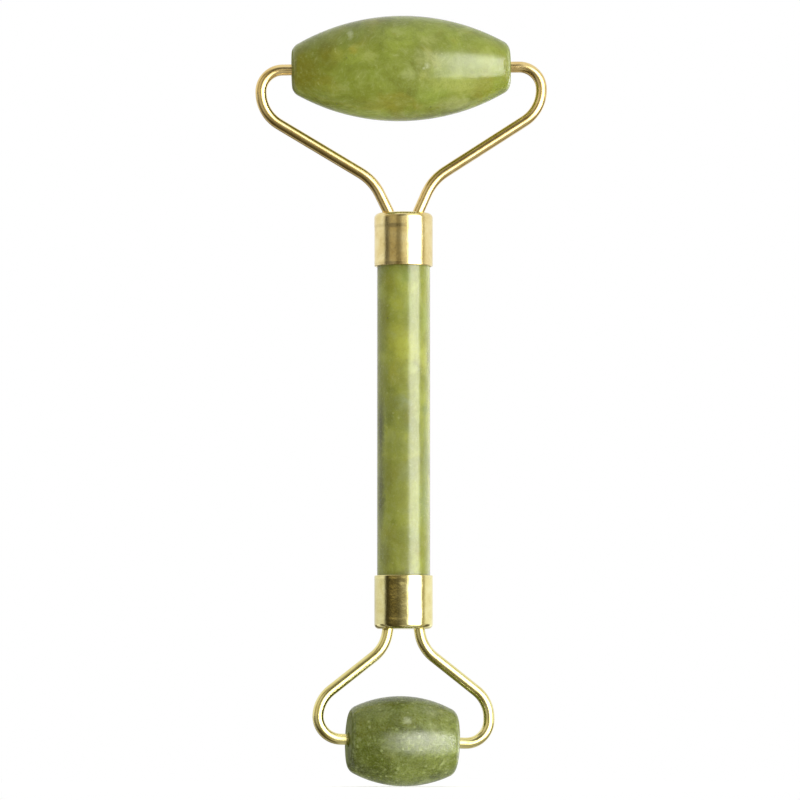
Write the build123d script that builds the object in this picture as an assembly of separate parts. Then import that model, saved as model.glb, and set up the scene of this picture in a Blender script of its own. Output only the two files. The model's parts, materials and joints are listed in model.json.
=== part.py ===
from build123d import *
import os
from dataclasses import dataclass
from math import cos, radians, sin, sqrt, tan

os.makedirs("parts", exist_ok=True)

# Jade face roller, in millimetres: a handle with a large stone above and a small one
# below, each turning on the tips of a bent wire yoke held in a metal cup.
# Origin at the middle of the handle, +Z up the handle's axis towards the large
# stone, +X to the right in the plane of the large yoke.

# ---- handle ----
rod_d = 9.97
rod_half = 33.90             # half of the rod's full length, both ends in cups
rod_chamfer = 0.40

# ---- drawn metal cups at the handle's ends ----
cup_od = 11.00
cup_wall = 0.40
cup_plate = 0.60
cup_open_z = 29.10           # open rim, from the handle's middle
cup_closed_z = 39.17         # outside of the closed end
cup_corner_r = 0.95
cup_inner_corner_r = 0.45
cup_rim_r = 0.15
hole_gap = 0.05              # round the wire where it passes the plate
cup_bore_r = cup_od / 2 - cup_wall
cup_ceiling_z = cup_closed_z - cup_plate

# ---- glue in the cups ----
glue_gap = 0.01
glue_low = 0.35              # glue stops this far inside the cup's rim
glue_corner_r = cup_inner_corner_r + 0.05

# ---- yoke wire ----
wire_d = 2.10
wire_tip_chamfer = 0.30
bridge_z = 35.15             # centreline of the wire's hidden bend in the cup
shortest_run = 1e-4          # straight runs below this are left out of the path

# ---- bearings: a closed-end bush in a blind bore in each end of each stone ----
bush_od = 2.72
bush_id = wire_d + 2 * 0.05
bush_end = 0.60
bush_recess = 0.20           # below the eased mouth of the bore
bush_mouth_chamfer = 0.12
bush_foot_chamfer = 0.20
bore_d = bush_od + 0.02
sink_d = 3.00                # eased mouth of the bore
sink_depth = 0.13
mouth_depth = sink_depth + bush_recess   # bush's mouth below the stone's end face
end_float = 0.35             # between the wire's tip and the bush's end

# ---- how the yokes stand ----
large_lean = 1.05            # degrees the glued yoke leans to the left
large_pivot_z = 39.00
small_clock = 5.5            # degrees the small yoke is turned about the handle

FROM_BASE = (Align.CENTER, Align.CENTER, Align.MIN)


@dataclass
class Stone:
    """Barrel with a circular-arc side."""
    half: float              # half of its length
    radius: float            # at the middle
    side_arc_r: float
    edge_r: float
    bore_depth: float


@dataclass
class Yoke:
    """Centreline corners of one side as (x, distance from the handle's middle)."""
    sign: int                # +1 above the handle, -1 below
    axis_z: float
    half_width: float
    arm_z: float
    knee: tuple
    neck: tuple
    bends: tuple             # bend radii from the axle's corner to the neck
    tilt: float              # degrees the stone's axle dips to the right
    slide: float             # the stone's shift to the right in its end float
    stance: Location         # how the finished yoke is leaned or turned
    cup_turn: Location       # turns the upper cup to this end of the handle


large_stone = Stone(half=20.60, radius=9.95, side_arc_r=40.00, edge_r=2.10, bore_depth=7.15)
small_stone = Stone(half=10.20, radius=8.45, side_arc_r=20.50, edge_r=1.90, bore_depth=5.75)

large_yoke = Yoke(
    sign=1,
    axis_z=66.61,
    half_width=26.50,
    arm_z=58.40,
    knee=(5.62, 45.45),
    neck=(2.60, 38.97),
    bends=(4.13, 7.05, 9.50, 3.00),
    tilt=0.0,
    slide=0.0,
    stance=Pos(0, 0, large_pivot_z) * Rot(0, -large_lean, 0) * Pos(0, 0, -large_pivot_z),
    cup_turn=Rot(0, 0, 0),
)
small_yoke = Yoke(
    sign=-1,
    axis_z=60.18,
    half_width=16.22,
    arm_z=52.61,
    knee=(3.58, 42.70),
    neck=(2.93, 38.90),
    bends=(4.35, 6.40, 7.00, 3.00),
    tilt=1.8,
    slide=-0.25,
    stance=Rot(0, 0, small_clock),
    cup_turn=Rot(180, 0, 0),
)


def circles(shape):
    return shape.edges().filter_by(GeomType.CIRCLE)


def cylinder_up(radius, low, high):
    """Cylinder on the Z axis from low to high."""
    return Pos(0, 0, low) * Cylinder(radius, high - low, align=FROM_BASE)


# ---- handle ----
def handle_rod():
    rod = Cylinder(rod_d / 2, 2 * rod_half)
    return chamfer(circles(rod), rod_chamfer)


# ---- yokes ----
def bent_path(corners, bends):
    """Centreline edges through XZ corners: straight runs joined by tangent arcs."""
    points = [Vector(x, 0, z) for x, z in corners]
    edges = []
    reached = points[0]
    for before, corner, after, bend_r in zip(points, points[1:], points[2:], bends):
        back = (before - corner).normalized()
        ahead = (after - corner).normalized()
        half_turn = radians(180 - back.get_angle(ahead)) / 2
        setback = bend_r * tan(half_turn)
        arc_start = corner + back * setback
        arc_mid = corner + (back + ahead).normalized() * (bend_r / cos(half_turn) - bend_r)
        arc_end = corner + ahead * setback
        # the two arcs of the bridge meet with no straight run between them
        if (arc_start - reached).length > shortest_run:
            edges.append(Line(reached, arc_start))
            reached = arc_start
        edges.append(ThreePointArc(reached, arc_mid, arc_end))
        reached = arc_end
    edges.append(Line(reached, points[-1]))
    return edges


def yoke_edges(yoke, stone):
    """Whole loop of one yoke, from its right tip to its left, before it is leaned or turned."""
    tip = stone.half - stone.bore_depth + bush_end + end_float   # from the axle's middle
    tilt = radians(yoke.tilt)
    axis_z = yoke.sign * yoke.axis_z
    knee_x, knee_z = yoke.knee
    neck_x, neck_z = yoke.neck
    right, left = [
        [
            (side * tip * cos(tilt), axis_z - side * tip * sin(tilt)),
            (side * yoke.half_width, axis_z - side * yoke.half_width * tan(tilt)),
            (side * yoke.half_width, yoke.sign * yoke.arm_z),
            (side * knee_x, yoke.sign * knee_z),
            (side * neck_x, yoke.sign * neck_z),
            (side * neck_x, yoke.sign * bridge_z),
        ]
        for side in (1, -1)
    ]
    bends = [*yoke.bends, neck_x]    # the bridge is a half circle between the necks
    return bent_path(right + left[::-1], bends + bends[::-1])


def wire_along(edges, radius):
    path = Wire(edges)
    section = Plane(origin=path @ 0, z_dir=path % 0) * Circle(radius)
    return sweep(section, path=path)


def yoke_wire(edges):
    """The bent wire with both tips chamfered."""
    wire = wire_along(edges, wire_d / 2)
    ends = [edges[0] @ 0, edges[-1] @ 1]
    tips = circles(wire).filter_by(
        lambda edge: any((edge.arc_center - end).length < 1e-3 for end in ends)
    )
    return chamfer(tips, wire_tip_chamfer)


# ---- cups and the glue in them, at the handle's upper end ----
def cup():
    """Drawn cup with its plate on top, before the wire holes."""
    outer = cylinder_up(cup_od / 2, cup_open_z, cup_closed_z)
    outer = fillet(circles(outer).sort_by(Axis.Z)[-1:], cup_corner_r)
    outer = fillet(circles(outer).sort_by(Axis.Z)[:1], cup_rim_r)
    inner = cylinder_up(cup_bore_r, cup_open_z, cup_ceiling_z)
    inner = fillet(circles(inner).sort_by(Axis.Z)[-1:], cup_inner_corner_r)
    return outer - inner


def glue():
    """Fill of the cup's space over the rod's end, with a thin skirt down round the rod."""
    low = cup_open_z + glue_low
    fill = cylinder_up(cup_bore_r - glue_gap, low, cup_ceiling_z - glue_gap)
    fill = fillet(circles(fill).sort_by(Axis.Z)[-1:], glue_corner_r)
    return fill - cylinder_up(rod_d / 2 + glue_gap, low, rod_half + glue_gap)


# ---- stones and their bushes, about the X axis ----
def inward(side, x):
    """Plane across the X axis at x, facing the stone's middle from the given side."""
    return Plane(origin=(x, 0, 0), z_dir=(-side, 0, 0))


def barrel(stone):
    """Stone with both ends bored blind and the mouths eased."""
    half = stone.half
    end_r = stone.radius - stone.side_arc_r + sqrt(stone.side_arc_r**2 - half**2)
    profile = [
        Line((-half, 0, 0), (-half, 0, end_r)),
        ThreePointArc((-half, 0, end_r), (0, 0, stone.radius), (half, 0, end_r)),
        Line((half, 0, end_r), (half, 0, 0)),
        Line((half, 0, 0), (-half, 0, 0)),
    ]
    body = revolve(make_face(profile), Axis.X, 360)
    rims = circles(body).filter_by(
        lambda edge: abs(abs(edge.center().X) - half) < 1e-3 and abs(edge.radius - end_r) < 1e-3
    )
    body = fillet(rims, stone.edge_r)
    for side in (-1, 1):
        end_face = inward(side, side * half)
        bore = end_face * Cylinder(bore_d / 2, stone.bore_depth, align=FROM_BASE)
        sink = end_face * Cone(sink_d / 2, bore_d / 2, sink_depth, align=FROM_BASE)
        body = body - bore - sink
    return body


def bush(length):
    """Closed-end bush, mouth at z = 0, closed end at z = length."""
    body = cylinder_up(bush_od / 2, 0, length)
    body -= cylinder_up(bush_id / 2, 0, length - bush_end)
    mouth = circles(body).filter_by(
        lambda edge: abs(edge.center().Z) < 1e-4 and abs(edge.radius - bush_id / 2) < 1e-4
    )
    body = chamfer(mouth, bush_mouth_chamfer)
    foot = circles(body).filter_by(lambda edge: abs(edge.center().Z - length) < 1e-4)
    return chamfer(foot, bush_foot_chamfer)


def seated_bush(side, stone):
    """A bush in one end of a stone, its closed end on the bore's floor."""
    return inward(side, side * (stone.half - mouth_depth)) * bush(stone.bore_depth - mouth_depth)


# ---- assembly ----
def end_pieces(size, yoke, stone):
    """Every piece at one end of the handle, by name."""
    edges = yoke_edges(yoke, stone)
    hole_tool = yoke.stance * wire_along(edges, wire_d / 2 + hole_gap)
    glue_tool = yoke.stance * wire_along(edges, wire_d / 2 + glue_gap)
    axle = (
        yoke.stance
        * Pos(0, 0, yoke.sign * yoke.axis_z)
        * Rot(0, yoke.tilt, 0)
        * Pos(yoke.slide, 0, 0)
    )
    return {
        f"{size}_ferrule": yoke.cup_turn * cup() - hole_tool,
        f"{size}_yoke": yoke.stance * yoke_wire(edges),
        f"{size}_adhesive": yoke.cup_turn * glue() - glue_tool,
        f"{size}_roller": axle * barrel(stone),
        f"{size}_bush_left": axle * seated_bush(-1, stone),
        f"{size}_bush_right": axle * seated_bush(1, stone),
    }


pieces = {
    "handle_rod": handle_rod(),
    **end_pieces("large", large_yoke, large_stone),
    **end_pieces("small", small_yoke, small_stone),
}
for name, shape in pieces.items():
    export_step(shape, f"parts/{name}.step")
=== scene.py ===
"""A jade roller standing upright: the handle runs along Z with its middle at the origin.

The large stone is at the top (+Z), the small one at the bottom, and each handle end sits in a
gold cup that holds the wires of a yoke. The front is -Y, where the camera is; +X is its right.
"""

import json
import math

import bmesh
import bpy
from mathutils import Matrix, Vector, noise


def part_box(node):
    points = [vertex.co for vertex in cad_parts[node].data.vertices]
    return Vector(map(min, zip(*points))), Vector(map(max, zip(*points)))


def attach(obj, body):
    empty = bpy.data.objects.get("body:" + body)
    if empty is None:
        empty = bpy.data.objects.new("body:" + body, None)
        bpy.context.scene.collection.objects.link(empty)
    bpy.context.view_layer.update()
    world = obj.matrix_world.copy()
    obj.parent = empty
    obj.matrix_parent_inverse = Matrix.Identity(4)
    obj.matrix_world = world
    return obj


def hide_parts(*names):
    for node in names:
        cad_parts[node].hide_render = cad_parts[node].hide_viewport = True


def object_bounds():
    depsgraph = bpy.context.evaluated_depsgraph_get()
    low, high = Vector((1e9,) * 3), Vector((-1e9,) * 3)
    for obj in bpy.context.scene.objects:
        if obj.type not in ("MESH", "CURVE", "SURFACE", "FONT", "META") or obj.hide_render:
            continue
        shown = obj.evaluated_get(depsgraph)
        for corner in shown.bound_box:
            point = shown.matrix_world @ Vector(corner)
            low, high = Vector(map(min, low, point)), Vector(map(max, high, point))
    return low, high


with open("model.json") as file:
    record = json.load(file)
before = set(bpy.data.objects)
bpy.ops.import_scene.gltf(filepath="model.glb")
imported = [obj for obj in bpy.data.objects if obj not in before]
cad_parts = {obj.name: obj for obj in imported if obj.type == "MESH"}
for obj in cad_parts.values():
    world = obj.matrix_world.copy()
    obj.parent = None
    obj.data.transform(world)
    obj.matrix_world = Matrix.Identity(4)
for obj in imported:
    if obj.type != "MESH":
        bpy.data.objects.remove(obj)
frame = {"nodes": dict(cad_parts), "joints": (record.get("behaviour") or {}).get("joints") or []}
cad_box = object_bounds()
nodes = frame["nodes"]
scene = bpy.context.scene
MM = 1000.0  # millimetres in a metre
CAMERA_AZIMUTH = -3.0  # degrees from -Y towards +X
CAMERA_ELEVATION = -3.3
WHITE = (1.0, 1.0, 1.0)


# ---------------------------------------------------------------- helpers
def add_object(name, data):
    thing = bpy.data.objects.new(name, data)
    scene.collection.objects.link(thing)
    return thing


def direction(azimuth, elevation):
    """Unit vector at an azimuth from -Y towards +X and an elevation, in degrees."""
    azimuth, elevation = math.radians(azimuth), math.radians(elevation)
    return Vector((
        math.sin(azimuth) * math.cos(elevation),
        -math.cos(azimuth) * math.cos(elevation),
        math.sin(elevation),
    ))


def stand(thing, location, backwards):
    """Place a light or camera so that its own +Z points along backwards."""
    thing.location = location
    thing.rotation_mode = "QUATERNION"
    thing.rotation_quaternion = backwards.to_track_quat("Z", "Y")


class Tree:
    """Builds a node tree; most methods add nodes and return an output socket."""

    def __init__(self, owner):
        owner.use_nodes = True
        self.tree = owner.node_tree
        self.tree.nodes.clear()

    def put(self, socket, value):
        if isinstance(value, bpy.types.NodeSocket):
            self.tree.links.new(value, socket)
            return
        if hasattr(socket.default_value, "__len__"):
            value = tuple(value)
            if len(socket.default_value) == 4 and len(value) == 3:
                value += (1.0,)
        socket.default_value = value

    def node(self, kind, inputs=None, **props):
        """Add a node; inputs maps socket numbers or names to values or sockets."""
        node = self.tree.nodes.new(kind)
        for key, value in props.items():
            setattr(node, key, value)
        for key, value in (inputs or {}).items():
            self.put(node.inputs[key], value)
        return node

    def math(self, operation, *values, clamp=False):
        inputs = dict(enumerate(values))
        return self.node("ShaderNodeMath", inputs, operation=operation, use_clamp=clamp).outputs[0]

    def add(self, total, *others):
        for other in others:
            total = self.math("ADD", total, other)
        return total

    def times(self, product, *others):
        for other in others:
            product = self.math("MULTIPLY", product, other)
        return product

    def vec(self, operation, *vectors, scale=None):
        inputs = dict(enumerate(vectors))
        if scale is not None:
            inputs["Scale"] = scale
        node = self.node("ShaderNodeVectorMath", inputs, operation=operation)
        is_number = operation in ("LENGTH", "DISTANCE", "DOT_PRODUCT")
        return node.outputs["Value" if is_number else 0]

    def xyz(self, vector):
        return tuple(self.node("ShaderNodeSeparateXYZ", {0: vector}).outputs)

    def step(self, value, over, to=(0.0, 1.0)):
        """Smooth step from to[0] at over[0] to to[1] at over[1]."""
        inputs = {
            "Value": value, "From Min": over[0], "From Max": over[1],
            "To Min": to[0], "To Max": to[1],
        }
        return self.node("ShaderNodeMapRange", inputs, interpolation_type="SMOOTHSTEP").outputs[0]

    def band(self, value, over, soft):
        """1 within the range over, falling smoothly to 0 outside."""
        low, high = over
        return self.times(
            self.step(value, (low - soft, low + soft)),
            self.step(value, (high - soft, high + soft), to=(1.0, 0.0)),
        )

    def mix(self, amount, first, second):
        inputs = {0: amount, 6: first, 7: second}
        return self.node("ShaderNodeMix", inputs, data_type="RGBA", clamp_factor=True).outputs[2]

    def mix_number(self, amount, first, second):
        inputs = {0: amount, 2: first, 3: second}
        return self.node("ShaderNodeMix", inputs, data_type="FLOAT", clamp_factor=True).outputs[0]

    def paint(self, base, colour, mask, amount):
        return self.mix(self.times(mask, amount), base, colour)

    def ramp(self, value, stops, interpolation="LINEAR"):
        node = self.node("ShaderNodeValToRGB", {0: value})
        node.color_ramp.interpolation = interpolation
        elements = node.color_ramp.elements
        while len(elements) < len(stops):
            elements.new(0.5)
        for element, (position, colour) in zip(elements, stops):
            element.position = position
            element.color = tuple(colour) + (1.0,)
        return node.outputs[0]

    def noise(self, at, scale, detail=3.0, rough=0.5, distort=0.0, output=0):
        inputs = {
            "Vector": at, "Scale": scale, "Detail": detail,
            "Roughness": rough, "Distortion": distort,
        }
        return self.node("ShaderNodeTexNoise", inputs).outputs[output]

    def wobble(self, at, scale, amount, detail=3.0):
        """The place at, pushed about by a noise."""
        push = self.noise(at, scale, detail, rough=0.6, output="Color")
        push = self.vec("SUBTRACT", push, (0.5, 0.5, 0.5))
        return self.vec("ADD", at, self.vec("SCALE", push, scale=amount))

    def spots(self, at, scale, size, chosen, channel=0):
        """Round spots at scattered points.

        size: distances from the point for 0 and 1; chosen: range of the point's random
        colour channel over which spots appear."""
        cells = self.node("ShaderNodeTexVoronoi", {"Vector": at, "Scale": scale})
        return self.times(
            self.step(cells.outputs["Distance"], size),
            self.step(self.xyz(cells.outputs["Color"])[channel], chosen),
        )

    def bump(self, height, distance=0.001):
        inputs = {"Height": height, "Strength": 1.0, "Distance": distance}
        return self.node("ShaderNodeBump", inputs).outputs[0]

    def place_mm(self, centre=(0, 0, 0)):
        """Position on the piece in millimetres, from a centre."""
        place = self.node("ShaderNodeTexCoord").outputs["Object"]
        return self.vec("SUBTRACT", self.vec("SCALE", place, scale=MM), centre)

    def blob(self, place, centre, radii, soft):
        """A soft ellipsoid patch: 1 inside, fading to 0 at its edge."""
        away = self.vec("DIVIDE", self.vec("SUBTRACT", place, centre), radii)
        return self.step(self.vec("LENGTH", away), (1.0 - soft, 1.0), to=(1.0, 0.0))

    def principled(self, **inputs):
        inputs = {key.replace("_", " "): value for key, value in inputs.items()}
        return self.node("ShaderNodeBsdfPrincipled", inputs).outputs[0]

    def finish(self, kind, shader):
        """Link the shader to the Material, World or Light output."""
        self.node("ShaderNodeOutput" + kind, {0: shader})


def material(name):
    made = bpy.data.materials.new(name)
    return made, Tree(made)


def dress(look, *names):
    for name in names:
        slots = nodes[name].data.materials
        slots.clear()
        slots.append(look)


# ---------------------------------------------------------------- jade
def bedded_colour(tree, bed, tone, clouds, mottle):
    """Broad drifting colours, ochre stains and clouds a few millimetres across."""
    dark, middle, bright, _, ochre = tone
    broad = tree.noise(bed, scale=0.105, rough=0.52, distort=0.4)
    stops = [(0.28, dark), (0.45, middle), (0.60, bright), (0.82, middle)]
    base = tree.ramp(broad, stops, "EASE")
    stain = tree.vec("ADD", bed, (31.0, 5.0, 9.0))
    stain = tree.noise(stain, scale=0.17, detail=2.5, rough=0.55, distort=0.6)
    base = tree.paint(base, ochre, tree.step(stain, over=(0.52, 0.74)), amount=0.55)
    cloud = tree.vec("ADD", bed, (-12.0, 44.0, 3.0))
    cloud = tree.noise(cloud, scale=0.36, detail=4.0, rough=0.60, distort=0.5)
    return mottle(base, cloud, (0.50, 0.74), clouds, (0.48, 0.28), clouds * 0.8)


def add_veins(tree, base, place, veins):
    """Straight lines, wobbled a little and broken up along their length."""
    for start, end, width, colour, amount in veins:
        wobbled = tree.wobble(place, scale=0.55, amount=width * 4.0)
        run = Vector(end) - Vector(start)
        along = tree.vec("DOT_PRODUCT", tree.vec("SUBTRACT", wobbled, start), run)
        along = tree.math("DIVIDE", along, run.length_squared, clamp=True)
        nearest = tree.vec("ADD", tree.vec("SCALE", run, scale=along), start)
        distance = tree.vec("DISTANCE", wobbled, nearest)
        line = tree.times(
            tree.step(distance, over=(width * 0.25, width), to=(1.0, 0.0)),
            tree.step(tree.noise(place, scale=1.3, detail=2.0), over=(0.36, 0.58), to=(0.35, 1.0)),
        )
        base = tree.paint(base, colour, line, amount)
    return base


def jade(name, tone, patches, seed, rough, speckle, grain, tooth=0.012, centre=(0, 0, 0),
         veins=(), specks=(), squeeze=(1.0, 1.0, 1.0), clouds=0.5, fleck_size=0.30,
         axle=None, half=None):
    """Polished jade: green and olive clouds, milky patches, grains and fine veins; some of the
    listed patches are painted shade, painted light and painted reflection.

    tone: dark, middle, bright, milky and ochre colours; grain, clouds, speckle: strengths;
    tooth: height of the finest bumps; axle, half: direction and half length of a stone whose
    flat ends are only ground. All lengths are in millimetres, places are from the centre."""
    dark, _, _, milky, _ = tone
    made, tree = material(name)
    place = tree.place_mm(centre)

    def mottle(base, field, pale_over, pale, dark_over, darkness):
        base = tree.mix(tree.step(field, pale_over, to=(0.0, pale)), base, milky)
        return tree.mix(tree.step(field, dark_over, to=(0.0, darkness)), base, dark)

    # a slow wander bends every layer the same way, as bedding does in the stone
    bed = tree.vec("ADD", tree.vec("MULTIPLY", place, squeeze), (seed, seed * 0.7, -seed * 1.3))
    bed = tree.wobble(bed, scale=0.09, amount=7.0, detail=2.0)
    base = bedded_colour(tree, bed, tone, clouds, mottle)

    # listed patches: most are the stone's own colour, some are painted shade and painted light on
    # the sides away from and towards the softboxes
    for spot, radii, colour, amount in patches:
        small = min(radii)
        ragged = tree.wobble(place, scale=1.6 / small, amount=1.5 * small, detail=4.0)
        base = tree.paint(base, colour, tree.blob(ragged, spot, radii, soft=0.9), amount)

    # crystals about a millimetre across, then the fine felted grain of the stone
    crystal = tree.vec("MULTIPLY", bed, (1.0, 1.25, 1.15))
    crystal = tree.noise(crystal, scale=0.85, detail=4.0, rough=0.60, distort=0.15)
    base = mottle(base, crystal, (0.50, 0.74), 0.42 * grain, (0.50, 0.28), 0.50 * grain)
    felt = tree.noise(tree.vec("MULTIPLY", bed, (1.0, 1.3, 1.2)), scale=3.0, rough=0.62)
    base = mottle(base, felt, (0.50, 0.72), 0.34 * grain, (0.50, 0.30), 0.40 * grain)

    # scattered grains: pale flecks and fewer dark ones
    shaken = tree.wobble(place, scale=2.2, amount=0.55, detail=2.0)
    chosen = (0.84 - 0.44 * speckle, 0.92 - 0.44 * speckle)
    fleck = tree.spots(shaken, scale=0.95, size=(fleck_size, 0.06), chosen=chosen)
    pale = [min(1.0, part * 1.30 + 0.03) for part in milky]
    base = tree.paint(base, pale, fleck, amount=0.22 + 0.42 * speckle)
    pit = tree.vec("ADD", shaken, (7.3, 2.1, 5.5))
    pit = tree.spots(pit, scale=0.62, size=(0.13, 0.05), chosen=(0.84, 0.88), channel=1)
    for spot, radii in specks:
        dots = tree.vec("ADD", shaken, (1.0, 4.0, 2.0))
        dots = tree.spots(dots, scale=1.5, size=(0.34, 0.12), chosen=(0.30, 0.40))
        dots = tree.times(dots, tree.blob(place, spot, radii, soft=0.5))
        pit = tree.math("MAXIMUM", pit, dots)
    base = tree.paint(base, [part * 0.30 for part in dark], pit, amount=0.70)
    base = add_veins(tree, base, place, veins)

    fine = tree.noise(place, scale=2.6, detail=4.0, rough=0.6)
    gloss = tree.step(fine, over=(0.3, 0.75), to=(rough * 0.80, rough * 1.40))
    gloss = tree.add(gloss, tree.times(pit, 0.25))
    # round the far side's outline (+Y), the glare of the bright boxes is held back
    geometry = tree.node("ShaderNodeNewGeometry").outputs
    facing = tree.vec("DOT_PRODUCT", geometry["Normal"], geometry["Incoming"])
    far_side = tree.step(tree.xyz(geometry["Normal"])[1], over=(0.02, 0.30))
    outline = tree.times(far_side, tree.step(facing, over=(0.50, 0.20)))
    shine = tree.mix_number(outline, 0.5, 0.05)
    if axle is not None:
        end = tree.math("ABSOLUTE", tree.vec("DOT_PRODUCT", place, axle))
        end = tree.step(end, over=(half - 0.35, half - 0.10))
        gloss = tree.mix_number(end, gloss, 0.62)
        shine = tree.mix_number(end, shine, 0.15)
        # the flat ends are also darkened in colour
        base = tree.paint(base, [part * 0.6 for part in dark], end, amount=0.35)
    # gentle waves, fine tooth and sunken pits
    waves = tree.times(tree.noise(place, scale=0.24, detail=2.0), 0.10)
    ripple = tree.times(tree.noise(place, scale=3.4, detail=2.0, rough=0.6), tooth)
    height = tree.add(waves, tree.add(ripple, tree.times(pit, -0.03)))
    tree.finish("Material", tree.principled(
        Base_Color=base, Roughness=gloss, IOR=1.36, Specular_IOR_Level=shine,
        Normal=tree.bump(height), Subsurface_Weight=0.5,
        Subsurface_Radius=(1.0, 1.15, 0.45), Subsurface_Scale=0.00055,
    ))
    return made


def middle_mm(node):
    low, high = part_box(node)
    return (low + high) * (MM / 2)


axles = {joint["name"]: Vector(joint["axis"]).normalized() for joint in frame["joints"]}

# Tones: dark, middle, bright, milky, ochre.
# Patches: place from the centre (mm), radii (mm), colour, strength.
LARGE_TONE = (
    (0.125, 0.140, 0.016), (0.190, 0.225, 0.030), (0.250, 0.300, 0.045),
    (0.330, 0.370, 0.120), (0.225, 0.200, 0.020),
)
LARGE_PATCHES = [
    # painted shade: this dark patch covers the left end, the end away from the softbox
    ((-18.5, -5.0, -1.5), (7.0, 7.0, 8.0), (0.165, 0.155, 0.012), 0.85),
    ((-14.6, -6.4, 3.4), (2.0, 3.0, 1.2), (0.135, 0.150, 0.016), 0.55),
    ((-12.0, -7.6, 1.6), (2.4, 3.0, 2.0), (0.300, 0.320, 0.050), 0.60),
    ((-9.4, -8.4, 2.6), (1.4, 2.0, 1.2), (0.330, 0.290, 0.035), 0.60),
    ((-6.6, -8.8, 1.4), (2.6, 3.0, 2.0), (0.300, 0.330, 0.080), 0.65),
    ((-5.4, -9.0, -2.2), (2.2, 3.0, 1.8), (0.200, 0.250, 0.036), 0.50),
    ((-9.8, -5.8, 5.3), (0.9, 2.5, 1.9), (0.42, 0.45, 0.25), 0.75),
    ((-0.4, -4.2, 7.4), (2.9, 3.0, 1.4), (0.40, 0.43, 0.23), 0.80),
    ((-3.4, -8.8, 0.8), (1.6, 2.5, 2.0), (0.160, 0.200, 0.030), 0.40),
    ((0.8, -9.3, -2.2), (2.2, 2.4, 1.7), (0.330, 0.370, 0.130), 0.60),
    ((3.8, -9.0, -2.4), (1.6, 2.4, 1.4), (0.330, 0.350, 0.080), 0.55),
    ((3.4, -8.8, 1.4), (2.6, 2.4, 2.2), (0.330, 0.370, 0.110), 0.70),
    ((4.6, -7.4, 4.6), (3.0, 3.0, 2.0), (0.350, 0.380, 0.110), 0.65),
    ((4.4, -9.4, -0.5), (0.80, 1.2, 0.75), (0.44, 0.47, 0.30), 0.75),
    ((3.8, -9.4, -1.0), (0.45, 1.0, 0.40), (0.42, 0.45, 0.28), 0.70),
    ((-3.4, -6.4, -7.4), (6.5, 4.0, 2.2), (0.240, 0.232, 0.034), 0.65),
    ((-7.5, -7.4, -5.2), (3.4, 3.4, 2.0), (0.165, 0.185, 0.020), 0.40),
    ((5.4, -7.4, -6.0), (5.0, 4.0, 2.8), (0.205, 0.270, 0.038), 0.50),
    ((12.0, -7.0, -4.0), (5.0, 5.0, 3.0), (0.320, 0.345, 0.080), 0.65),
    # painted reflection: a pale greyish patch on the lower right rim
    ((10.0, -4.5, -7.0), (6.0, 4.0, 2.0), (0.330, 0.350, 0.140), 0.60),
    # painted light: a bright yellow-green patch over the right end, towards the softbox
    ((16.5, -5.0, 2.5), (6.0, 7.0, 7.0), (0.275, 0.325, 0.058), 0.60),
    ((4.8, -9.0, 0.4), (4.6, 3.4, 3.0), (0.345, 0.375, 0.090), 0.38),
    ((7.6, -8.2, -3.8), (6.4, 4.0, 2.2), (0.340, 0.370, 0.095), 0.40),
    ((-7.0, -7.8, 4.6), (3.6, 3.4, 2.6), (0.165, 0.195, 0.024), 0.38),
]
# Veins: start (mm), end (mm), width (mm), colour, strength.
LARGE_VEINS = [
    ((6.4, -7.4, 5.6), (6.7, -8.8, 2.8), 0.13, (0.40, 0.43, 0.18), 0.60),
    ((-3.0, -8.4, 3.8), (-1.9, -8.9, 3.2), 0.22, (0.42, 0.40, 0.20), 0.5),
]
# Specks, patches of dark dots: place (mm), radii (mm).
LARGE_SPECKS = [((9.0, -7.4, -6.6), (2.4, 3.0, 1.2))]

SMALL_TONE = (
    (0.070, 0.086, 0.009), (0.115, 0.142, 0.020), (0.165, 0.198, 0.036),
    (0.250, 0.285, 0.100), (0.125, 0.130, 0.014),
)
SMALL_PATCHES = [
    # painted shade: darkens the lower left, the side away from the softbox
    ((-8.5, -4.0, -4.0), (5.0, 7.0, 5.0), (0.038, 0.046, 0.002), 0.85),
    # painted shade on the lower left
    ((-4.6, -7.0, -2.6), (5.0, 4.0, 3.2), (0.060, 0.074, 0.004), 0.50),
    ((0.6, -7.2, 3.6), (3.4, 3.0, 2.4), (0.235, 0.255, 0.062), 0.50),
    ((7.4, -4.5, 5.6), (3.8, 4.0, 2.6), (0.215, 0.238, 0.060), 0.50),
    # painted shade on the lower left
    ((-3.6, -5.6, -5.4), (3.6, 5.0, 2.4), (0.050, 0.062, 0.004), 0.80),
    ((-6.4, -6.2, 4.6), (2.8, 3.0, 2.0), (0.150, 0.180, 0.034), 0.50),
    ((2.6, -6.8, -4.4), (3.4, 3.0, 1.6), (0.085, 0.100, 0.012), 0.55),
    ((-5.6, -6.4, 2.0), (2.4, 3.0, 1.8), (0.150, 0.165, 0.030), 0.50),
    ((-2.6, -7.8, -2.6), (2.0, 3.0, 1.6), (0.185, 0.200, 0.055), 0.45),
    # painted light: a bright patch over the right end, towards the softbox
    ((8.6, -3.0, 1.0), (3.4, 6.0, 7.0), (0.205, 0.250, 0.042), 0.75),
    ((0.6, -7.5, 3.9), (1.3, 1.4, 1.1), (0.40, 0.43, 0.27), 0.80),
    ((-3.8, -6.8, 4.6), (2.6, 3.0, 1.8), (0.170, 0.195, 0.040), 0.55),
    ((-2.2, -7.6, 0.6), (1.6, 2.4, 2.4), (0.190, 0.215, 0.050), 0.50),
    ((5.0, -5.5, 5.6), (3.8, 3.0, 1.8), (0.250, 0.275, 0.125), 0.60),
    ((7.4, -5.0, -3.6), (1.6, 3.0, 3.4), (0.230, 0.265, 0.085), 0.50),
    ((4.0, -5.6, -6.2), (3.0, 3.0, 1.2), (0.175, 0.200, 0.045), 0.40),
]
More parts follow.
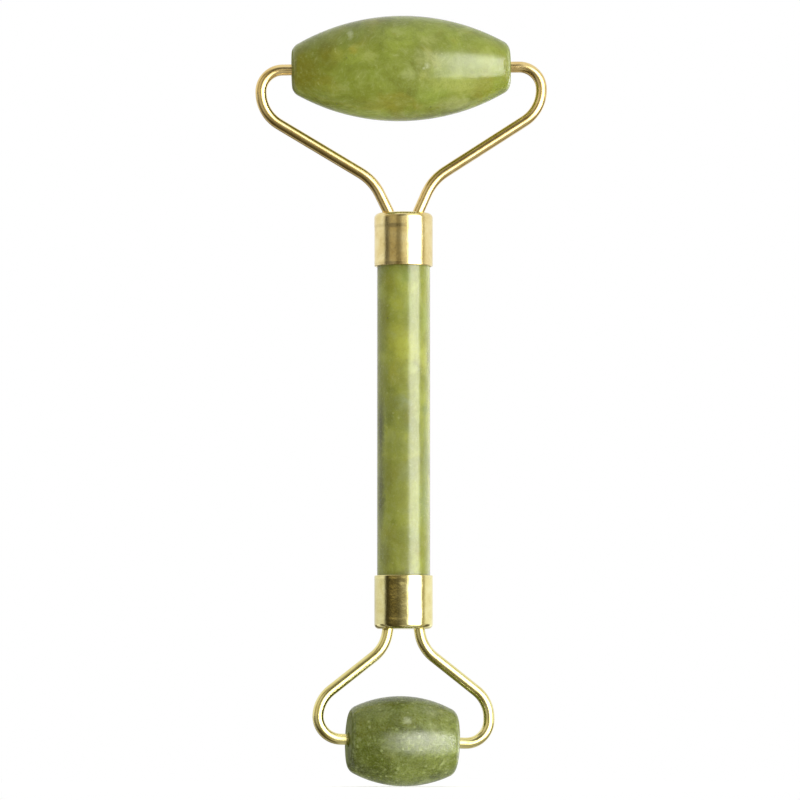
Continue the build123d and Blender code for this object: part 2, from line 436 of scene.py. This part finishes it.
SMALL_VEINS = [((-8.8, -2.2, 5.7), (-2.6, -4.0, 7.2), 0.17, (0.30, 0.31, 0.10), 0.9)]

HANDLE_TONE = (
    (0.150, 0.160, 0.026), (0.215, 0.235, 0.040), (0.290, 0.320, 0.055),
    (0.310, 0.340, 0.140), (0.220, 0.205, 0.022),
)
HANDLE_PATCHES = [
    # The dark patches on the left side (x from -2 to -4.4 mm) paint a shaded band on the side away
    # from the softbox. On the right edge (x above 3 mm) the bright patches are painted light and
    # the greyish ones painted reflection. The others are the stone's own clouds.
    ((-2.6, -4.0, 25.5), (1.9, 3.0, 3.2), (0.215, 0.215, 0.024), 0.70),
    ((-1.4, -4.6, 21.6), (2.0, 3.0, 2.4), (0.300, 0.315, 0.045), 0.60),
    ((0.2, -4.6, 27.0), (1.8, 3.0, 2.6), (0.205, 0.255, 0.050), 0.70),
    ((0.8, -4.6, 21.0), (2.0, 3.0, 3.4), (0.270, 0.315, 0.070), 0.60),
    ((-2.0, -4.2, 19.0), (1.4, 3.0, 2.0), (0.205, 0.225, 0.030), 0.55),
    ((3.8, -3.0, 19.0), (1.6, 3.0, 4.0), (0.250, 0.305, 0.085), 0.45),
    ((0.0, -4.0, 13.4), (5.0, 6.0, 4.6), (0.360, 0.385, 0.060), 0.80),
    ((-2.2, -4.2, 9.0), (1.6, 3.0, 2.6), (0.300, 0.300, 0.036), 0.60),
    ((1.0, -4.8, 9.2), (2.2, 3.0, 2.2), (0.350, 0.400, 0.090), 0.60),
    ((-2.4, -4.2, 5.6), (1.3, 2.5, 1.0), (0.150, 0.165, 0.024), 0.65),
    ((-0.4, -4.8, 3.4), (2.0, 2.5, 2.2), (0.260, 0.300, 0.140), 0.80),
    ((3.8, -3.2, 2.0), (1.4, 2.5, 1.6), (0.165, 0.205, 0.075), 0.65),
    # painted shade: two dark strips down the left edge, the side away from the softbox
    ((-4.4, -2.2, -2.0), (1.2, 3.0, 9.0), (0.080, 0.085, 0.030), 0.85),
    ((-4.4, -2.2, -14.0), (1.2, 3.0, 9.0), (0.075, 0.080, 0.028), 0.85),
    ((-2.8, -4.0, 0.2), (1.6, 2.5, 2.0), (0.125, 0.145, 0.024), 0.70),
    ((0.2, -4.8, -1.6), (2.2, 2.5, 1.8), (0.190, 0.225, 0.060), 0.60),
    ((-1.0, -4.6, -5.4), (2.4, 3.0, 2.0), (0.250, 0.280, 0.060), 0.50),
    ((0.4, -4.8, -9.6), (3.2, 3.0, 2.8), (0.260, 0.290, 0.115), 0.65),
    ((-3.0, -3.6, -11.0), (1.2, 3.0, 4.0), (0.170, 0.180, 0.030), 0.60),
    ((-1.0, -4.6, -15.6), (2.4, 3.0, 2.4), (0.290, 0.305, 0.055), 0.65),
    ((-2.2, -4.2, -19.2), (1.0, 2.5, 0.9), (0.150, 0.165, 0.018), 0.65),
    ((0.4, -4.8, -21.5), (2.4, 2.5, 2.6), (0.240, 0.280, 0.080), 0.50),
    ((-3.4, -3.4, -25.5), (2.4, 4.0, 5.0), (0.120, 0.115, 0.034), 0.55),
    # painted shade: a dark band where the rod goes into the lower cup
    ((-0.8, -4.4, -29.4), (7.0, 6.0, 2.0), (0.135, 0.128, 0.030), 0.60),
    # painted shade: a dark band where the rod goes into the upper cup
    ((-0.8, -4.4, 29.6), (7.0, 6.0, 1.2), (0.140, 0.145, 0.018), 0.55),
    ((0.2, -4.8, -27.5), (3.0, 3.0, 4.0), (0.190, 0.192, 0.075), 0.50),
    ((-1.0, -4.0, -14.0), (5.0, 6.0, 16.0), (0.170, 0.185, 0.040), 0.40),
    # painted reflection: a greyish patch down the right edge
    ((3.9, -3.0, -9.0), (1.6, 3.0, 14.0), (0.185, 0.215, 0.095), 0.60),
    # painted light: a bright yellow patch on the right edge, towards the softbox
    ((3.6, -3.4, 11.5), (1.6, 3.0, 4.0), (0.420, 0.440, 0.100), 0.65),
    # painted reflection: a greyish patch down the right edge
    ((3.4, -3.4, -16.0), (1.6, 3.0, 6.0), (0.200, 0.240, 0.095), 0.60),
    ((-2.2, -4.2, 3.0), (1.3, 3.0, 2.6), (0.165, 0.175, 0.034), 0.50),
    ((-3.6, -3.4, 20.0), (1.4, 3.0, 6.0), (0.160, 0.160, 0.012), 0.60),
    ((-1.4, -4.6, 15.2), (3.2, 4.0, 5.2), (0.350, 0.355, 0.050), 0.45),
    ((-0.6, -4.6, 1.2), (4.4, 4.0, 5.0), (0.160, 0.180, 0.045), 0.68),
    ((-1.2, -4.6, -5.0), (3.4, 3.4, 3.6), (0.190, 0.210, 0.045), 0.70),
    ((-0.5, -4.8, 8.2), (3.4, 3.0, 3.0), (0.330, 0.345, 0.065), 0.35),
    ((-1.0, -4.6, -21.8), (3.2, 3.0, 3.2), (0.175, 0.185, 0.035), 0.55),
    ((-1.4, -4.6, -25.4), (3.4, 3.0, 3.4), (0.175, 0.180, 0.034), 0.40),
]

large_jade = jade(
    "large_jade", LARGE_TONE, LARGE_PATCHES, centre=middle_mm("large_roller"),
    veins=LARGE_VEINS, specks=LARGE_SPECKS, seed=3.0, rough=0.19, speckle=0.10, grain=0.70,
    axle=axles["large_roller_spin"], half=20.6,
)
small_jade = jade(
    "small_jade", SMALL_TONE, SMALL_PATCHES, centre=middle_mm("small_roller"),
    veins=SMALL_VEINS, seed=11.0, rough=0.27, speckle=0.82, grain=1.40, clouds=0.80,
    fleck_size=0.42, tooth=0.022, axle=axles["small_roller_spin"], half=10.2,
)
handle_jade = jade(
    "handle_jade", HANDLE_TONE, HANDLE_PATCHES, seed=27.0, rough=0.21, speckle=0.05,
    grain=0.55, squeeze=(1.0, 1.0, 0.8), clouds=0.35, tooth=0.014,
)

# ---------------------------------------------------------------- gold-coloured plating
# stretch: scale of the scratches along each axis; wave, ripple: heights of the bumps
CUP_FINISH = {"stretch": (1.0, 1.0, 0.08), "wave": 0.03, "ripple": 0.010}
WIRE_FINISH = {"stretch": (0.35, 1.0, 0.35), "wave": 0.02, "ripple": 0.003}


def gold(name, tones, haze, stretch, wave, ripple):
    """Plated metal; tones run from worn to bright, haze is the least roughness."""
    made, tree = material(name)
    place = tree.place_mm()
    worn = tree.noise(place, scale=0.45, detail=4.0, rough=0.6, distort=0.4)
    tint = tree.ramp(worn, list(zip((0.30, 0.52, 0.75), tones)))
    # tiny dull spots where the lacquer has gone
    spot = tree.spots(place, scale=1.9, size=(0.16, 0.06), chosen=(0.86, 0.92))
    tint = tree.paint(tint, (0.45, 0.31, 0.10), spot, amount=0.35)
    scratch = tree.vec("MULTIPLY", place, stretch)
    scratch = tree.noise(scratch, scale=6.0, detail=4.0, rough=0.7)
    rough = tree.step(scratch, over=(0.35, 0.75), to=(haze, haze + 0.10))
    rough = tree.add(rough, tree.times(spot, 0.15))
    height = tree.add(
        tree.times(tree.noise(place, scale=0.40, rough=0.55), wave),
        tree.times(tree.noise(place, scale=2.4, rough=0.6), ripple),
    )
    tree.finish("Material", tree.principled(
        Base_Color=tint, Metallic=1.0, Roughness=rough, Normal=tree.bump(height),
    ))
    return made


top_gold = gold(
    "cup_gold", tones=((0.76, 0.60, 0.25), (0.85, 0.705, 0.335), (0.89, 0.77, 0.41)),
    haze=0.16, **CUP_FINISH,
)
bottom_gold = gold(
    "cup_gold_lower", tones=((0.72, 0.63, 0.25), (0.82, 0.740, 0.34), (0.87, 0.81, 0.42)),
    haze=0.10, **CUP_FINISH,
)
top_wire = gold(
    "wire_gold", tones=((0.71, 0.51, 0.20), (0.81, 0.615, 0.26), (0.87, 0.71, 0.37)),
    haze=0.155, **WIRE_FINISH,
)
bottom_wire = gold(
    "wire_gold_lower", tones=((0.72, 0.62, 0.24), (0.82, 0.73, 0.31), (0.87, 0.80, 0.41)),
    haze=0.155, **WIRE_FINISH,
)


# ---------------------------------------------------------------- hidden pieces
def plain(name, colours, rough, scatter):
    """A material mixed from two colours; scatter is the share of subsurface light."""
    made, tree = material(name)
    place = tree.place_mm()
    blend = tree.noise(place, scale=1.4, detail=4.0, rough=0.6)
    tree.finish("Material", tree.principled(
        Base_Color=tree.mix(blend, *colours),
        Roughness=tree.step(blend, over=(0.3, 0.7), to=(rough * 0.8, rough * 1.2)), IOR=1.52,
        Subsurface_Weight=scatter, Subsurface_Radius=(1.0, 0.9, 0.7), Subsurface_Scale=0.0006,
        Normal=tree.bump(tree.noise(place, scale=3.0, rough=0.6), distance=0.00001),
    ))
    return made


# The bushes are near-black: their colour is painted shade for the dark bore mouths around the
# wires.
nylon = plain("nylon", ((0.055, 0.050, 0.035), (0.040, 0.036, 0.026)), rough=0.42, scatter=0.0)
epoxy = plain("epoxy", ((0.62, 0.54, 0.30), (0.50, 0.42, 0.22)), rough=0.18, scatter=0.5)

dress(large_jade, "large_roller")
dress(small_jade, "small_roller")
dress(handle_jade, "handle_rod")
dress(top_wire, "large_yoke")
dress(bottom_wire, "small_yoke")
dress(nylon, "large_bush_left", "large_bush_right", "small_bush_left", "small_bush_right")
dress(epoxy, "large_adhesive", "small_adhesive")

# ---------------------------------------------------------------- cups (millimetres, degrees)
WALL, PLATE = 0.40, 0.60  # thickness of the side and of the closed end
CORNER, LIP, INNER = 0.95, 0.15, 0.45  # radii: outer corner, rim edge, inner corner
SIDE_STEP = 0.14  # spacing of the points down the side
AROUND = 192
DRILL_RADIUS, DRILL_DEPTH = 1.10, 2.2


def smooth(value, low, high):
    value = min(1.0, max(0.0, (value - low) / (high - low)))
    return value * value * (3.0 - 2.0 * value)


def hump(z, low, crest, high):
    return smooth(z, low, crest) * (1.0 - smooth(z, crest, high))


def turn_between(azimuth, middle):
    return (azimuth - middle + 180.0) % 360.0 - 180.0


def cup_profile(radius, top, rim):
    """(radius, z) points from the outside of the closed end, over the rim, to its inside."""
    points = [(0.0, top), (radius - CORNER - 2.2, top), (radius - CORNER - 0.6, top)]
    for angle in (math.radians(6.0 * i) for i in range(16)):
        points.append((
            radius - CORNER + CORNER * math.sin(angle), top - CORNER + CORNER * math.cos(angle),
        ))
    z = top - CORNER
    while z - SIDE_STEP > rim + LIP:
        z -= SIDE_STEP
        points.append((radius, z))
    quarter = [math.radians(15.0 * i) for i in range(7)]
    for angle in quarter:
        points.append((radius - LIP + LIP * math.cos(angle), rim + LIP - LIP * math.sin(angle)))
    bore = radius - WALL
    points += [(bore + LIP * 0.5, rim), (bore, rim + 0.12)]
    for angle in quarter:
        points.append((
            bore - INNER + INNER * math.cos(angle),
            top - PLATE - INNER + INNER * math.sin(angle),
        ))
    points.append((0.0, top - PLATE))
    return points


def cup_relief(azimuth, z, radius, sign, rings, dents):
    """How far the outer wall stands out at a place."""
    grow = 0.0
    for low, crest, high, tall, middle, spread in rings:
        away = abs(turn_between(azimuth, middle))
        fade = 0.25 + 0.75 * (1.0 - smooth(away, spread, spread + 45.0))
        grow += tall * hump(z, low, crest, high) * fade
    for centre, middle, size, deep in dents:
        away = turn_between(azimuth, middle) * math.pi / 180.0 * radius
        grow -= deep * math.exp(-(away * away + (z - centre) ** 2) / (size * size))
    angle = math.radians(azimuth)
    # a very slight unevenness all over
    spot = Vector((math.sin(angle) * 1.3, math.cos(angle) * 1.3, z * 0.22 * sign))
    return grow + 0.006 * noise.noise(spot)


def drill_hole(piece, point, along):
    drill = bpy.data.meshes.new("drill")
    bm = bmesh.new()
    bmesh.ops.create_cone(
        bm, cap_ends=True, segments=48,
        radius1=DRILL_RADIUS / MM, radius2=DRILL_RADIUS / MM, depth=DRILL_DEPTH / MM,
    )
    turned = along.to_track_quat("Z", "Y").to_matrix().to_4x4()
    bm.transform(Matrix.Translation(point) @ turned)
    bm.to_mesh(drill)
    bm.free()
    tool = add_object("drill", drill)
    cut = piece.modifiers.new("hole", "BOOLEAN")
    cut.operation, cut.solver, cut.object = "DIFFERENCE", "EXACT", tool
    bpy.context.view_layer.update()
    evaluated = piece.evaluated_get(bpy.context.evaluated_depsgraph_get())
    drilled = bpy.data.meshes.new_from_object(evaluated)
    piece.modifiers.clear()
    piece.data = drilled
    bpy.data.objects.remove(tool)
    bpy.data.meshes.remove(drill)


def cup(name, node, sign, rings, dents, holes, look):
    """A drawn cup, open end towards the handle's middle, with pressed rings and small dents.

    rings: (low, crest, high, height, azimuth, spread); dents: (z, azimuth, radius, depth);
    z is measured away from the handle's middle; holes: (point, direction) in metres."""
    low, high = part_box(node)
    top = max(abs(low.z), abs(high.z)) * MM
    rim = min(abs(low.z), abs(high.z)) * MM
    radius = (high.x - low.x) * MM / 2
    profile = cup_profile(radius, top, rim)
    verts, faces = [], []
    for reach, z in profile:
        outer = reach > radius - 0.12 and rim + 0.05 < z < top - 0.55
        for k in range(AROUND):
            azimuth = 360.0 * k / AROUND - 180.0
            grow = cup_relief(azimuth, z, radius, sign, rings, dents) if outer else 0.0
            angle, out = math.radians(azimuth), reach + grow
            verts.append((out * math.sin(angle) / MM, -out * math.cos(angle) / MM, sign * z / MM))
    for i in range(len(profile) - 1):
        this, following = i * AROUND, (i + 1) * AROUND
        for k in range(AROUND):
            j = (k + 1) % AROUND
            face = [this + k, this + j, following + j, following + k]
            if profile[i][0] == 0.0:
                face = [this, face[2], face[3]]
            elif profile[i + 1][0] == 0.0:
                face = [face[0], face[1], following]
            faces.append(face if sign < 0 else face[::-1])
    mesh = bpy.data.meshes.new(name)
    mesh.from_pydata(verts, [], faces)
    mesh.validate()
    piece = add_object(name, mesh)
    bm = bmesh.new()
    bm.from_mesh(mesh)
    bmesh.ops.remove_doubles(bm, verts=bm.verts, dist=1e-7)
    bmesh.ops.recalc_face_normals(bm, faces=bm.faces)
    bm.to_mesh(mesh)
    bm.free()
    for point, along in holes:
        drill_hole(piece, point, along)
    piece.data.name = name
    for polygon in piece.data.polygons:
        polygon.use_smooth = True
    piece.data.set_sharp_from_angle(angle=math.radians(40.0))
    piece.data.materials.clear()
    piece.data.materials.append(look)
    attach(piece, "handle")
    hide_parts(node)
    return piece


LARGE_LEAN, LEAN_Z = math.radians(1.05), 39.0  # the large yoke leans sideways about this height
SMALL_TURN = math.radians(5.5)  # the small yoke is turned about Z
LARGE_SPREAD = (5.62 - 2.60) / (45.45 - 38.97)  # outward run of the large wires per mm of height


def on_large(x, z):
    """A point of the large yoke's plane; millimetres in, metres out."""
    z = z - LEAN_Z
    sine, cosine = math.sin(LARGE_LEAN), math.cos(LARGE_LEAN)
    return Vector((x * cosine - z * sine, 0.0, LEAN_Z + x * sine + z * cosine)) / MM


def on_small(x, z):
    """A point of the small yoke's plane; millimetres in, metres out."""
    return Vector((x * math.cos(SMALL_TURN), x * math.sin(SMALL_TURN), z)) / MM


def wire_holes(on_yoke, x, z, spread):
    """Both wires' (point, direction); they part by spread each, per mm from the middle."""
    holes = []
    for side in (-1, 1):
        start = on_yoke(side * x, z)
        end = on_yoke(side * (x + spread), z + math.copysign(1.0, z))
        holes.append((start, (end - start).normalized()))
    return holes


cup_top = cup(
    "cup_top", "large_ferrule", 1,
    rings=[(36.15, 37.00, 41.00, 0.042, -35.0, 60.0), (29.30, 29.75, 30.60, 0.020, -30.0, 50.0)],
    dents=[
        (32.9, -52.0, 1.3, 0.020), (35.2, 24.0, 1.1, 0.015),
        (30.8, 150.0, 1.0, 0.03), (34.6, -150.0, 1.6, 0.02),
    ],
    holes=wire_holes(on_large, x=2.62, z=38.87, spread=LARGE_SPREAD), look=top_gold,
)
cup_bottom = cup(
    "cup_bottom", "small_ferrule", -1,
    rings=[(36.9, 37.5, 38.2, 0.008, -20.0, 50.0), (29.35, 29.8, 30.4, 0.010, 0.0, 60.0)],
    dents=[
        (30.4, -6.0, 0.35, 0.035), (36.9, -22.0, 1.2, 0.020),
        (33.4, 40.0, 1.4, 0.015), (32.5, 160.0, 1.2, 0.03),
    ],
    holes=wire_holes(on_small, x=2.94, z=-38.87, spread=0.05), look=bottom_gold,
)


# ---------------------------------------------------------------- floor
def build_floor(half, z):
    mesh = bpy.data.meshes.new("floor")
    corners = [(-half, -half, z), (half, -half, z), (half, half, z), (-half, half, z)]
    mesh.from_pydata(corners, [], [(0, 1, 2, 3)])
    floor = add_object("floor", mesh)
    look, tree = material("floor_pale")
    place = tree.place_mm()
    pale = tree.mix(tree.noise(place, scale=0.02), (0.80, 0.80, 0.795), (0.82, 0.82, 0.818))
    near = tree.principled(
        Base_Color=pale, Roughness=0.9, Emission_Color=(1.0, 1.0, 1.03), Emission_Strength=0.35,
    )
    # the floor lightens to the white of the room a little way from the roller
    far = tree.node("ShaderNodeEmission", {0: WHITE}).outputs[0]
    fade = tree.step(tree.vec("LENGTH", place), over=(75.0, 190.0))
    tree.finish("Material", tree.node("ShaderNodeMixShader", {0: fade, 1: near, 2: far}).outputs[0])
    mesh.materials.append(look)
    floor.visible_glossy = False
    floor.visible_diffuse = False


build_floor(half=3.0, z=cad_box[0][2])


# ---------------------------------------------------------------- world
# Azimuths are in degrees from the camera's side, positive to its right; elevations in degrees.
def dark_side(tree, azimuth, elevation):
    """Brightness of the dark part of the room, towards the camera's left."""
    shade = tree.add(
        tree.step(azimuth, over=(-62.0, -40.0), to=(0.05, 0.105)),
        tree.step(azimuth, over=(-26.0, 14.0), to=(0.0, 0.28)),
    )
    # a low strip in three parts: azimuths, brightness
    strip = (((-58.0, -28.0), 0.38), ((-28.0, -8.0), 0.24), ((-8.0, 12.0), 0.52))
    lift = tree.add(*(
        tree.times(tree.band(azimuth, over, soft=6.0), amount) for over, amount in strip
    ))
    low_only = tree.times(
        tree.step(elevation, over=(2.2, 4.6)),
        tree.step(elevation, over=(7.5, 10.5), to=(1.0, 0.0)),
    )
    shade = tree.add(shade, tree.times(lift, low_only))
    above = tree.step(azimuth, over=(-34.0, -12.0), to=(0.30, 0.12))
    shade = tree.mix_number(tree.step(elevation, over=(8.0, 13.0)), shade, above)
    # a card well below eye level
    card = tree.times(
        tree.band(azimuth, (-20.0, 14.0), soft=7.0), tree.band(elevation, (-52.0, -37.0), soft=4.0),
    )
    return tree.add(shade, tree.times(card, 0.35))


def diffuse_fill(tree, azimuth, elevation, turn, front):
    """Strength of the soft fill from all round, which polished surfaces don't show."""
    fill = tree.step(elevation, over=(0.0, 50.0), to=(0.95, 0.62))
    left = tree.times(tree.band(azimuth, (-105.0, 8.0), soft=20.0), front)
    fill = tree.mix_number(left, fill, 0.72)
    right = tree.times(
        tree.band(azimuth, (2.0, 84.0), soft=14.0), tree.band(elevation, (-46.0, 28.0), soft=12.0),
    )
    fill = tree.mix_number(right, fill, 3.35)
    behind = tree.times(
        tree.band(turn, (160.0, 222.0), soft=14.0),
        tree.band(elevation, (-10.0, 46.0), soft=12.0), 1.5,
    )
    return tree.add(fill, behind)


def build_world():
    world = bpy.data.worlds.new("studio")
    scene.world = world
    tree = Tree(world)
    view = tree.node("ShaderNodeTexCoord").outputs["Generated"]
    x, y, z = tree.xyz(tree.vec("NORMALIZE", view))
    azimuth = tree.math("DEGREES", tree.math("ARCTAN2", x, tree.times(y, -1.0)))
    azimuth = tree.math("SUBTRACT", azimuth, CAMERA_AZIMUTH)
    elevation = tree.math("DEGREES", tree.math("ARCSINE", z))
    turn = tree.math("FLOORED_MODULO", azimuth, 360.0)  # the azimuth as 0 to 360

    # a white room, paler above than below, dark towards the camera's left
    room = tree.step(elevation, over=(-30.0, 1.0), to=(0.50, 0.97))
    room = tree.times(room, tree.mix_number(
        tree.step(azimuth, over=(-80.0, 80.0)),
        tree.step(elevation, over=(1.2, 4.6), to=(0.80, 1.0)),
        tree.step(elevation, over=(1.2, 4.6), to=(1.10, 1.0)),
    ))
    front = tree.step(elevation, over=(40.0, 68.0), to=(1.0, 0.0))
    dark = tree.times(tree.band(azimuth, (-80.0, 14.0), soft=9.0), front)
    shade = dark_side(tree, azimuth, elevation)
    tone = tree.mix(tree.step(azimuth, over=(-50.0, 8.0)), (1.0, 0.83, 0.42), (1.0, 0.94, 0.76))
    colour = tree.mix(
        dark, tree.vec("SCALE", WHITE, scale=room), tree.vec("SCALE", tone, scale=shade),
    )
    gap = tree.times(
        tree.band(azimuth, (70.0, 92.0), soft=6.0),
        tree.step(elevation, over=(40.0, 66.0), to=(1.0, 0.0)),
    )
    colour = tree.mix(gap, colour, (0.50, 0.46, 0.32))
    # one tall softbox on the right
    box = tree.times(
        tree.band(azimuth, (17.0, 73.0), soft=5.5), tree.band(elevation, (-27.0, 35.0), soft=7.0),
    )
    colour = tree.mix(box, colour, WHITE)
    strength = tree.mix_number(box, 1.0, 1.3)
    # behind the roller, below eye level: dark flags and two narrower boxes
    low = tree.step(elevation, over=(-8.0, -3.0), to=(1.0, 0.0))
    flags = tree.add(
        tree.band(turn, (197.0, 221.0), soft=5.0), tree.band(turn, (252.0, 272.0), soft=6.0),
        tree.band(turn, (100.0, 128.0), soft=6.0),
    )
    colour = tree.mix(tree.times(flags, low), colour, (0.17, 0.15, 0.11))
    narrow = tree.add(
        tree.band(turn, (225.0, 247.0), soft=4.0), tree.band(turn, (134.0, 150.0), soft=4.0),
    )
    strength = tree.mix_number(tree.times(narrow, low), strength, 1.7)

    rays = tree.node("ShaderNodeLightPath").outputs
    fill = diffuse_fill(tree, azimuth, elevation, turn, front)
    colour = tree.mix(rays["Is Diffuse Ray"], colour, (1.0, 0.995, 0.97))
    strength = tree.mix_number(rays["Is Diffuse Ray"], strength, fill)
    sky = tree.node("ShaderNodeBackground", {0: colour, 1: strength}).outputs[0]
    seen = tree.node("ShaderNodeBackground", {0: WHITE, 1: 1.0}).outputs[0]
    pick = tree.node("ShaderNodeMixShader", {0: rays["Is Camera Ray"], 1: sky, 2: seen})
    tree.finish("World", pick.outputs[0])


build_world()

# ---------------------------------------------------------------- softboxes
LIGHT_DISTANCE = 2.0


def softbox(name, azimuths, elevations, radiance, fades, lit, shape="RECTANGLE"):
    """An area light filling a window of directions; it lights only the pieces in lit."""
    light = bpy.data.lights.new(name, "AREA")
    light.shape = shape
    light.size, light.size_y = [
        2 * LIGHT_DISTANCE * math.tan(math.radians((end - start) / 2))
        for start, end in (azimuths, elevations)
    ]
    area = light.size * light.size_y * (math.pi / 4 if shape == "ELLIPSE" else 1.0)
    light.energy = radiance * 3.14 * area
    tree = Tree(light)
    across, along, _ = tree.xyz(tree.node("ShaderNodeNewGeometry").outputs["Parametric"])
    glow = tree.times(
        tree.step(across, (0.0, fades[0])), tree.step(across, (1.0 - fades[1], 1.0), (1.0, 0.0)),
        tree.step(along, (0.0, fades[2])), tree.step(along, (1.0 - fades[3], 1.0), (1.0, 0.0)),
    )
    tree.finish("Light", tree.node("ShaderNodeEmission", {1: glow}).outputs[0])
    way = direction(CAMERA_AZIMUTH + sum(azimuths) / 2, sum(elevations) / 2)
    panel = add_object(name, light)
    stand(panel, way * LIGHT_DISTANCE, way)
    panel.visible_camera = False
    panel.visible_diffuse = False
    group = bpy.data.collections.new("lit_by_" + name)
    for piece in lit:
        group.objects.link(piece)
    panel.light_linking.receiver_collection = group


large_stone, small_stone, rod = [nodes[n] for n in ("large_roller", "small_roller", "handle_rod")]
stones = [large_stone, small_stone]
wires = [nodes["large_yoke"], nodes["small_yoke"]]
# Metered apart for the dark stones and the bright metal.
# Name, azimuths, elevations, radiance, fades, pieces lit, shape if not a rectangle. The fades
# are shares of the panel's size at the start and end of its first, then second direction.
SOFTBOXES = [
    ("large_light", (16.0, 75.0), (-28.0, 38.0), 12.7, (0.44, 0.12, 0.07, 0.28), [large_stone]),
    ("rod_light", (21.0, 73.0), (-27.0, 34.0), 14.5, (0.16, 0.02, 0.05, 0.05), [rod]),
    ("small_light", (-13.0, 73.0), (-41.0, 25.0), 18.5, (0.45, 0.05, 0.36, 0.22), [small_stone]),
    ("edge_light", (70.0, 130.0), (-30.0, 34.0), 2.7, (0.50, 0.10, 0.10, 0.10), stones),
    ("rod_edge_light", (90.0, 154.0), (-30.0, 34.0), 1.45, (0.45, 0.06, 0.10, 0.10), [rod]),
    ("back_light", (116.0, 148.0), (-18.0, 10.0), 5.2, (0.35, 0.20, 0.12, 0.20), stones),
    ("cup_light", (14.0, 78.0), (-41.0, 35.0), 3.4, (0.22, 0.12, 0.20, 0.15),
     [cup_top, cup_bottom], "ELLIPSE"),
    ("cup_card", (-70.0, -25.0), (-30.0, 40.0), 0.14, (0.10, 0.22, 0.20, 0.20), [cup_top]),
    ("cup_edge", (-14.0, 13.0), (-30.0, 40.0), 0.22, (0.45, 0.12, 0.20, 0.20), [cup_top]),
    ("wire_light", (10.0, 76.0), (-32.0, 40.0), 3.0, (0.22, 0.15, 0.18, 0.18), wires),
    ("wire_card", (-78.0, -6.0), (-30.0, 46.0), 0.42, (0.45, 0.35, 0.30, 0.30), wires),
]
for row in SOFTBOXES:
    softbox(*row)

scene.view_settings.view_transform = "Standard"
scene.view_settings.look = "None"
scene.view_settings.exposure = 0.0

# ---------------------------------------------------------------- camera
CAMERA_TARGET = Vector((-0.00068, 0.0, 0.00393))  # metres
CAMERA_DISTANCE = 1.15

camera_data = bpy.data.cameras.new("camera")
camera_data.sensor_width = 36.0
camera_data.lens = 275.0
camera_data.clip_start = 0.05
camera_data.clip_end = 20.0
camera = add_object("camera", camera_data)
back = direction(CAMERA_AZIMUTH, CAMERA_ELEVATION)
stand(camera, CAMERA_TARGET + back * CAMERA_DISTANCE, back)
scene.camera = camera
